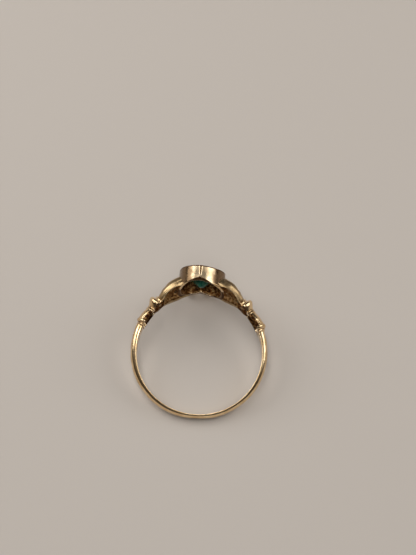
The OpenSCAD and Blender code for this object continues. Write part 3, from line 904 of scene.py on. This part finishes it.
# Its reach along the finger, how far apart its points are, and the beads on them
CROWN_REACH, CROWN_SPREAD, BEAD_R = 5.0, 2.0, 0.38
# Half its width at its base, how much it flares, the depth of its dips, and how far it lies in the lobes
CROWN_HALF, CROWN_FLARE, CROWN_DIP, CROWN_SINK = 1.75, 0.43, 1.3, 0.17
# Its band: two wires with a row of small beads between them
NECK_Z = LOBE_V + LOBE_R + 0.1
BAND_HALF, BAND_GAP, BAND_WIRES = 1.86, 0.5, (0.14, 0.1)
SMALL_BEADS, SMALL_BEAD_R, SMALL_BEAD_STEP = 7, 0.15, 0.52


def crown_height(x, thick):
    """Height of the bent crown at a place across it, at a distance from its inner face."""
    return CROWN_Y + math.sqrt((CROWN_BEND + thick) ** 2 - x * x)


def crown(gold):
    """Flared crown on the lobes: three points with beads, round dips between them, and a banded base."""
    bm = bmesh.new()
    bmesh.ops.create_grid(bm, x_segments=64, y_segments=40, size=0.5)
    for v in bm.verts:
        x, v_share = v.co.x * 2, v.co.y + 0.5
        flare = CROWN_HALF + CROWN_FLARE * ease(0.35, 1.0, v_share)
        dip = abs(math.sin(math.pi * x)) ** 0.8
        top = CROWN_REACH + 0.08 - CROWN_DIP * dip
        across = min(abs(abs(x * CROWN_HALF) - LOBE_X), LOBE_R - 0.2)
        front = LOBE_V + math.sqrt((LOBE_R - CROWN_SINK) ** 2 - across ** 2)
        v.co = Vector((x * flare, 0, -front - (top - front) * v_share))
    faces = bm.faces[:]
    raised = set(bmesh.ops.extrude_face_region(bm, geom=faces)["geom"])
    for v in bm.verts:
        v.co.y = crown_height(v.co.x, CROWN_T - 0.02 if v in raised else 0.0)
    piece = finish_piece("crown", bm, "gold_ring", [gold], sharp=40)
    worn_edges(piece, 0.1, segments=3, angle=50)
    return piece


def crown_trim(gold):
    """Band across the crown's base with a row of small beads, and a bead on each point."""
    bm = bmesh.new()
    half = math.asin(BAND_HALF / (CROWN_BEND + CROWN_T))
    for number, wire in enumerate(BAND_WIRES):
        ring = bmesh.ops.create_circle(bm, segments=12, radius=wire)["verts"]
        bmesh.ops.rotate(bm, verts=ring, cent=(0, 0, 0), matrix=Matrix.Rotation(math.pi / 2, 3, "Y"))
        bmesh.ops.translate(bm, vec=(0, crown_height(0, CROWN_T), -NECK_Z - BAND_GAP * number), verts=ring)
        bmesh.ops.rotate(bm, verts=ring, cent=(0, CROWN_Y, 0), matrix=Matrix.Rotation(half, 3, "Z"))
        loop = list({e for v in ring for e in v.link_edges})
        made = bmesh.ops.spin(bm, geom=ring + loop, cent=(0, CROWN_Y, 0), axis=(0, 0, 1),
                              angle=-2 * half, steps=16)["geom_last"]
        bmesh.ops.contextual_create(bm, geom=loop)
        bmesh.ops.contextual_create(bm, geom=[g for g in made if isinstance(g, bmesh.types.BMEdge)])
    for step in range(SMALL_BEADS):
        x = (step - (SMALL_BEADS - 1) / 2) * SMALL_BEAD_STEP
        bead = bmesh.ops.create_icosphere(bm, subdivisions=2, radius=SMALL_BEAD_R)["verts"]
        bmesh.ops.translate(bm, vec=(x, crown_height(x, CROWN_T), -NECK_Z - BAND_GAP / 2), verts=bead)
    for x in (-CROWN_SPREAD, 0.0, CROWN_SPREAD):
        bead = bmesh.ops.create_icosphere(bm, subdivisions=4, radius=BEAD_R)["verts"]
        bmesh.ops.translate(bm, vec=(x, crown_height(x, CROWN_T / 2), -CROWN_REACH), verts=bead)
    return finish_piece("crown_trim", bm, "gold_ring", [gold], sharp=60)


# ---- Floor, light and camera

FLOOR_TONE = (0.60, 0.555, 0.515)
BACKDROP_TONE = (0.43, 0.395, 0.36)
# Table of the lights, all aimed at the ring: name, place, size, power, colour
LIGHTS = [("window", (-0.04, -0.01, 0.34), (0.64, 0.12), 0.78, (1.0, 0.98, 0.95)),
          ("left_light", (-0.26, 0.15, 0.17), (0.24, 0.20), 0.40, (1.0, 0.97, 0.93)),
          ("right_light", (0.28, 0.11, 0.163), (0.26, 0.20), 0.34, (1.0, 0.97, 0.93))]
# Table of the room's tones from below to above: share of its height, colour
ROOM = [(0.0, (0.10, 0.08, 0.065)), (0.45, (0.13, 0.11, 0.095)), (0.75, (0.36, 0.32, 0.28)),
        (1.0, (0.72, 0.68, 0.62))]
ROOM_STRENGTH = 0.38
# Share of the room's light that is left behind the head
BACK_SHARE = 0.3


def floor():
    """Plain pale floor under the ring."""
    bm = bmesh.new()
    bmesh.ops.create_grid(bm, x_segments=1, y_segments=1, size=4)
    bmesh.ops.translate(bm, vec=(0, 0, CAD_BOX[0][2]), verts=bm.verts)
    mesh = bpy.data.meshes.new("floor")
    bm.to_mesh(mesh)
    bm.free()
    ground = bpy.data.objects.new("floor", mesh)
    bpy.context.scene.collection.objects.link(ground)
    mesh.materials.append(new_material("Pale floor", Base_Color=(*FLOOR_TONE, 1), Roughness=0.9,
                                       Specular_IOR_Level=0.1)[0])


def area_light(name, spot, size, power, colour):
    """Rectangular soft light at a place, aimed at the ring."""
    lamp = bpy.data.lights.new(name, "AREA")
    lamp.shape = "RECTANGLE"
    lamp.size, lamp.size_y = size
    lamp.energy = power
    lamp.color = colour
    light = bpy.data.objects.new(name, lamp)
    light.location = spot
    light.rotation_mode = "QUATERNION"
    light.rotation_quaternion = (-Vector(spot)).to_track_quat("-Z", "Y")
    bpy.context.scene.collection.objects.link(light)


def studio():
    """Soft light: a long light overhead, two side lights and a dim room, darkest low down and behind."""
    for light in LIGHTS:
        area_light(*light)
    world = bpy.data.worlds.new("room")
    world.use_nodes = True
    tree = world.node_tree
    room = tree.nodes["Background"]
    place = add(tree, "ShaderNodeTexCoord")
    parts = add(tree, "ShaderNodeSeparateXYZ")
    ramp = colour_ramp(tree, ROOM)
    behind = add(tree, "ShaderNodeMapRange",
                 {"From Min": 0.15, "From Max": 0.8, "To Min": 1.0, "To Max": BACK_SHARE},
                 interpolation_type="SMOOTHSTEP")
    dimmed = add(tree, "ShaderNodeVectorMath", operation="SCALE")
    backdrop = add(tree, "ShaderNodeBackground", {"Color": (*BACKDROP_TONE, 1)})
    seen = add(tree, "ShaderNodeLightPath")
    mixed = add(tree, "ShaderNodeMixShader")
    link_up(tree, (place.outputs["Generated"], parts.inputs[0]), (parts.outputs["Z"], ramp.inputs["Fac"]),
            (parts.outputs["Y"], behind.inputs["Value"]), (ramp.outputs["Color"], dimmed.inputs[0]),
            (behind.outputs["Result"], dimmed.inputs["Scale"]),
            (dimmed.outputs["Vector"], room.inputs["Color"]),
            (seen.outputs["Is Camera Ray"], mixed.inputs["Fac"]), (room.outputs[0], mixed.inputs[1]),
            (backdrop.outputs[0], mixed.inputs[2]),
            (mixed.outputs[0], tree.nodes["World Output"].inputs["Surface"]))
    room.inputs["Strength"].default_value = ROOM_STRENGTH
    bpy.context.scene.world = world
    bpy.context.scene.view_settings.view_transform = "Standard"


# Camera: distance in metres, angle off the finger hole's axis and roll in degrees, and in pixels of the
# photograph its height, the focal length and how far the camera looks above and right of the hole's middle
CAMERA_AWAY, OFF_AXIS, ROLL = 0.140, 11.5, 2.0
PHOTO_HEIGHT, FOCAL, LOOK_ABOVE, LOOK_RIGHT = 555, 1008.0, 76, 8.7
SENSOR = 36.0


def camera():
    """Looks down on the lying ring from the photograph's side."""
    height = math.pi / 2 - TILT - math.radians(OFF_AXIS)
    back = Vector((0, -math.cos(height), math.sin(height)))
    data = bpy.data.cameras.new("camera")
    data.sensor_width = SENSOR
    data.lens = FOCAL / PHOTO_HEIGHT * SENSOR
    data.clip_start = 0.01
    eye = bpy.data.objects.new("camera", data)
    eye.rotation_mode = "QUATERNION"
    eye.location = back * CAMERA_AWAY
    eye.rotation_quaternion = ((-back).to_track_quat("-Z", "Y") @ Quaternion((0, 0, 1), math.radians(ROLL))
                               @ Quaternion((1, 0, 0), math.atan(LOOK_ABOVE / FOCAL))
                               @ Quaternion((0, 1, 0), math.atan(-LOOK_RIGHT / FOCAL)))
    bpy.context.scene.collection.objects.link(eye)
    bpy.context.scene.camera = eye


camera()
finishes = make_materials()
shank(finishes["polished"])
for which in (LEFT, RIGHT):
    sleeve(which, finishes["polished"], finishes["tarnish_and_shade_cast"])
    sleeve_end(which, finishes["polished"])
    collar(which, finishes["polished"])
    cuff(which, finishes["polished"])
    sole(which, finishes["tarnish_and_shade_cast"])
    hand(which, finishes["hand"], finishes["cast"])
    thumb(which, finishes["polished"])
    foot_fillet(which, finishes["polished"])
bezel(finishes["bezel"], finishes["shaded_cast"], finishes["tarnish_and_shade"])
crown(finishes["polished"])
crown_trim(finishes["polished"])
for stone_slot in frame["nodes"]["heart_stone"].material_slots:
    stone_slot.material = finishes["stone"]
floor()
studio()
